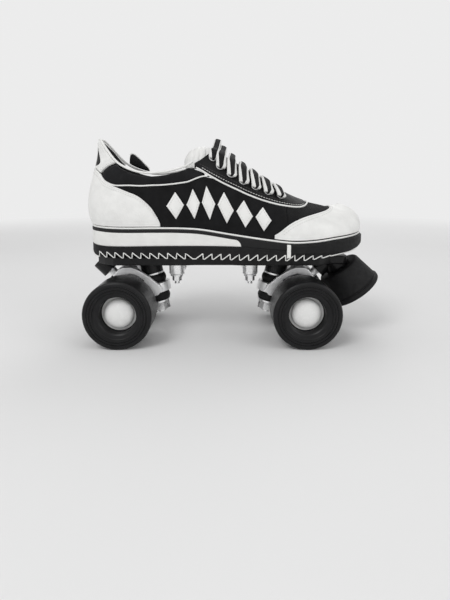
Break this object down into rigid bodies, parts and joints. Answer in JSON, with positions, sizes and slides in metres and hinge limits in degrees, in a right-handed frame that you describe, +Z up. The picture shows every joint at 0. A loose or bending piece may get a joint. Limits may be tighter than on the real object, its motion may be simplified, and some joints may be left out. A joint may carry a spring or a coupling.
{
  "type": "roller skate",
  "caption": "Quad roller skate: low laced training shoe in black and white on a black plate with sprung trucks, wheels with domed hub caps and a rubber toe stop.",
  "frame": {"origin": "on the ground, in the middle of the skate's length and width as it stands on its wheels", "axes": "+X from heel to toe, +Y to the inner side of the foot, +Z up from the ground"},
  "size_m": [0.295, 0.125, 0.1952],
  "materials": {
    "tyre_black": "satin urethane",
    "hub_white": "moulded",
    "bearing_steel": "ground",
    "bright_steel": "plated",
    "cast_metal": "polished casting",
    "plate_black": "satin black enamel",
    "rubber_black": "matt",
    "cup_black": "moulded",
    "foam_white": "moulded foam",
    "foam_black": "moulded foam",
    "cloth_black": "woven nylon",
    "leather_black": "fine grain",
    "leather_white": "fine grain",
    "cloth_grey": "terry",
    "lace_black": "flat woven braid"
  },
  "bodies": {
    "skate": {"plate": "plate_black", "mount_lugs": "bright_steel", "mount_bolts": "bright_steel", "mount_washers": "bright_steel", "mount_nuts": "bright_steel", "kingpins": "bright_steel", "kingpin_nuts": "bright_steel", "cushion_cups": "bright_steel", "pivot_cups": "cup_black", "front_cushions": "rubber_black", "rear_cushions": "rubber_black", "outsole": "rubber_black", "heel_wedge": "foam_white", "midsole": "foam_black", "toe_bumper": "rubber_black", "bumper_bars": "foam_white", "insole": "cloth_grey", "quarters": "cloth_black", "vamp": "cloth_black", "heel_counter": "leather_white", "toe_cap": "leather_white", "heel_tab": "leather_white", "heel_insert": "leather_black", "side_lozenges": "leather_white", "eyestays": "leather_black", "eyelets": "bright_steel", "collar": "cloth_black", "top_piping": "leather_white", "welt": "leather_white", "ankle_lobe": "cloth_black", "tongue": "leather_white", "lace": "lace_black"},
    "front_truck": {"front_hanger": "cast_metal", "front_axle": "bright_steel", "front_races": "bearing_steel", "front_axle_washers": "bright_steel", "front_axle_nuts": "bright_steel"},
    "rear_truck": {"rear_hanger": "cast_metal", "rear_axle": "bright_steel", "rear_races": "bearing_steel", "rear_axle_washers": "bright_steel", "rear_axle_nuts": "bright_steel"},
    "front_outer_wheel": {"front_outer_tyre": "tyre_black", "front_outer_hub": "hub_white", "front_outer_bearings": "bearing_steel", "front_outer_cap": "hub_white"},
    "front_inner_wheel": {"front_inner_tyre": "tyre_black", "front_inner_hub": "hub_white", "front_inner_bearings": "bearing_steel", "front_inner_cap": "hub_white"},
    "rear_outer_wheel": {"rear_outer_tyre": "tyre_black", "rear_outer_hub": "hub_white", "rear_outer_bearings": "bearing_steel", "rear_outer_cap": "hub_white"},
    "rear_inner_wheel": {"rear_inner_tyre": "tyre_black", "rear_inner_hub": "hub_white", "rear_inner_bearings": "bearing_steel", "rear_inner_cap": "hub_white"},
    "toe_stop": {"toe_stop_rubber": "rubber_black", "toe_stop_stem": "bright_steel"}
  },
  "joints": [
    {"name": "front_steer", "type": "hinge", "parent": "skate", "child": "front_truck", "pos_m": [0.0845, 0, 0.065], "axis": [0.9257, 0, 0.3782], "range_deg": [-8, 8], "stiffness_Nm_per_rad": 40, "deforming": ["front_cushions"]},
    {"name": "rear_steer", "type": "hinge", "parent": "skate", "child": "rear_truck", "pos_m": [-0.1285, 0, 0.065], "axis": [-0.9257, 0, 0.3782], "range_deg": [-8, 8], "stiffness_Nm_per_rad": 40, "deforming": ["rear_cushions"]},
    {"name": "front_outer_spin", "type": "hinge", "parent": "front_truck", "child": "front_outer_wheel", "pos_m": [0.0655, 0, 0.032], "axis": [0, 1, 0], "continuous": true},
    {"name": "front_inner_spin", "type": "hinge", "parent": "front_truck", "child": "front_inner_wheel", "pos_m": [0.0655, 0, 0.032], "axis": [0, 1, 0], "continuous": true},
    {"name": "rear_outer_spin", "type": "hinge", "parent": "rear_truck", "child": "rear_outer_wheel", "pos_m": [-0.1095, 0, 0.032], "axis": [0, 1, 0], "continuous": true},
    {"name": "rear_inner_spin", "type": "hinge", "parent": "rear_truck", "child": "rear_inner_wheel", "pos_m": [-0.1095, 0, 0.032], "axis": [0, 1, 0], "continuous": true},
    {"name": "toe_stop_adjust", "type": "slide", "parent": "skate", "child": "toe_stop", "axis": [0.6, 0, -0.8], "range_m": [0, 0.005]}
  ]
}
